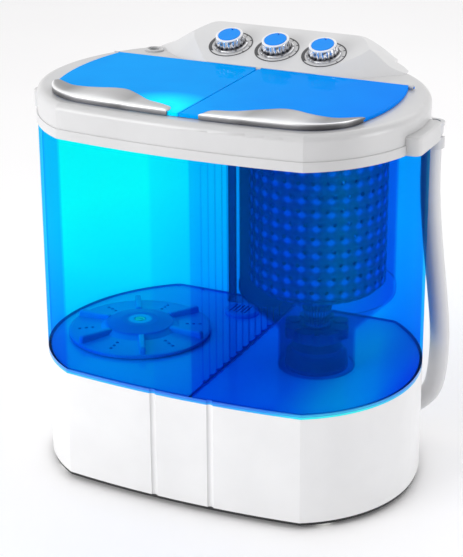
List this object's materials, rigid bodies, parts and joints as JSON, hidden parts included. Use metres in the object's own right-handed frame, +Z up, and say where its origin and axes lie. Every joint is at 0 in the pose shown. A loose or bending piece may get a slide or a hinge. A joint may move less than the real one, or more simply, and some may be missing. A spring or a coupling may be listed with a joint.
{
  "type": "portable twin tub mini washing machine",
  "caption": "Compact twin-tub washer: white base and control top, translucent blue tubs with pulsator and spin basket, hinged lids, dials and a drain hose.",
  "frame": {"origin": "middle of the footprint, on the surface the feet stand on, measured without the drain hose", "axes": "+Z up, -Y towards the front with the lid handles, +X towards the spin side"},
  "size_m": [0.484, 0.3139, 0.5026],
  "materials": {
    "white": "gloss",
    "tub_blue": "translucent gloss",
    "lid_blue": "gloss",
    "silver": "metallic paint",
    "chrome": "polished",
    "cap_blue": "satin",
    "print_grey": "print",
    "rubber_black": "matte",
    "plate_black": "matte",
    "basket_blue": "gloss",
    "pulsator_blue": "gloss",
    "grey_hose": "satin",
    "steel": "brushed",
    "galvanised": "satin",
    "nylon_white": "satin",
    "aluminium": "machined",
    "bronze": "machined"
  },
  "bodies": {
    "cabinet": {"base_housing": "white", "bottom_plate": "plate_black", "housing_screws": "steel", "feet": "nylon_white", "tub_shell": "tub_blue", "spin_chamber": "tub_blue", "tub_rim_ring": "white", "top_frame": "white", "water_inlet": "white", "control_panel": "white", "console_back_cover": "white", "switch_box": "nylon_white", "dial_rings": "print_grey", "wash_timer": "plate_black", "selector_switch": "plate_black", "spin_timer": "plate_black", "pulsator_bearing": "bronze", "drive_belt": "rubber_black", "wash_motor": "galvanised", "wash_motor_bracket": "steel", "motor_capacitor": "aluminium", "spin_shaft_seal": "rubber_black", "spin_motor": "galvanised", "motor_springs": "steel", "lever_pin": "steel", "filter_channel": "tub_blue", "drain_grille": "pulsator_blue", "drain_valve_body": "nylon_white", "drain_pipe": "grey_hose", "drain_outlet": "white", "drain_hose": "grey_hose", "hose_end_cuff": "grey_hose", "hose_clip": "white", "power_cord_gland": "rubber_black"},
    "wash_lid_body": {"wash_lid": "lid_blue", "wash_lid_handle": "silver"},
    "spin_lid_body": {"spin_lid": "lid_blue", "spin_lid_handle": "silver"},
    "wash_timer_dial": {"wash_timer_knob": "chrome", "wash_timer_knob_cap": "cap_blue", "wash_timer_shaft": "steel"},
    "selector_dial": {"selector_knob": "chrome", "selector_knob_cap": "cap_blue", "selector_shaft": "steel"},
    "spin_timer_dial": {"spin_timer_knob": "chrome", "spin_timer_knob_cap": "cap_blue", "spin_timer_shaft": "steel"},
    "pulsator_group": {"pulsator": "pulsator_blue", "pulsator_screw": "steel", "pulsator_shaft": "steel", "pulsator_pulley": "nylon_white"},
    "wash_rotor": {"wash_motor_shaft": "steel", "wash_motor_pulley": "aluminium"},
    "spin_group": {"spin_basket": "basket_blue", "basket_coupling": "rubber_black", "spin_shaft": "steel", "brake_drum": "galvanised"},
    "brake_lever_body": {"brake_lever": "steel"},
    "valve_plunger_body": {"valve_plunger": "rubber_black"},
    "lint_filter_body": {"lint_filter": "nylon_white"}
  },
  "joints": [
    {"name": "wash_lid_hinge", "type": "hinge", "parent": "cabinet", "child": "wash_lid_body", "pos_m": [-0.1, 0.0692, 0.4684], "axis": [-1, 0, 0], "range_deg": [0, 100]},
    {"name": "spin_lid_hinge", "type": "hinge", "parent": "cabinet", "child": "spin_lid_body", "pos_m": [0.1, 0.0692, 0.4684], "axis": [-1, 0, 0], "range_deg": [0, 100]},
    {"name": "wash_timer_turn", "type": "hinge", "parent": "cabinet", "child": "wash_timer_dial", "pos_m": [-0.056, 0.111, 0.48393], "axis": [0, 0.3256, -0.9455], "range_deg": [0, 300]},
    {"name": "selector_turn", "type": "hinge", "parent": "cabinet", "child": "selector_dial", "pos_m": [0.0045, 0.111, 0.48393], "axis": [0, 0.3256, -0.9455], "range_deg": [0, 90]},
    {"name": "spin_timer_turn", "type": "hinge", "parent": "cabinet", "child": "spin_timer_dial", "pos_m": [0.065, 0.111, 0.48393], "axis": [0, 0.3256, -0.9455], "range_deg": [0, 300]},
    {"name": "pulsator_spin", "type": "hinge", "parent": "cabinet", "child": "pulsator_group", "pos_m": [-0.125, -0.008, 0.15], "axis": [0, 0, 1], "continuous": true},
    {"name": "wash_motor_spin", "type": "hinge", "parent": "cabinet", "child": "wash_rotor", "pos_m": [-0.008, 0.04, 0.09], "axis": [0, 0, 1], "continuous": true},
    {"name": "spin_basket_spin", "type": "hinge", "parent": "cabinet", "child": "spin_group", "pos_m": [0.11, -0.008, 0.2], "axis": [0, 0, 1], "continuous": true},
    {"name": "brake_lever_turn", "type": "hinge", "parent": "cabinet", "child": "brake_lever_body", "pos_m": [0.15, 0.0445, 0.111], "axis": [0, 0, 1], "range_deg": [0, 3]},
    {"name": "valve_lift", "type": "slide", "parent": "cabinet", "child": "valve_plunger_body", "axis": [0, 0, -1], "range_m": [0, 0.008]},
    {"name": "lint_filter_pull", "type": "slide", "parent": "cabinet", "child": "lint_filter_body", "axis": [0, -1, 0], "range_m": [0, 0.05]}
  ],
  "couplings": [
    {"joint": "wash_motor_spin", "follows": "pulsator_spin", "ratio": 5},
    {"joint": "brake_lever_turn", "follows": "spin_lid_hinge", "ratio": 0.03},
    {"joint": "valve_lift", "follows": "selector_turn", "m_per_rad": 0.005093}
  ]
}
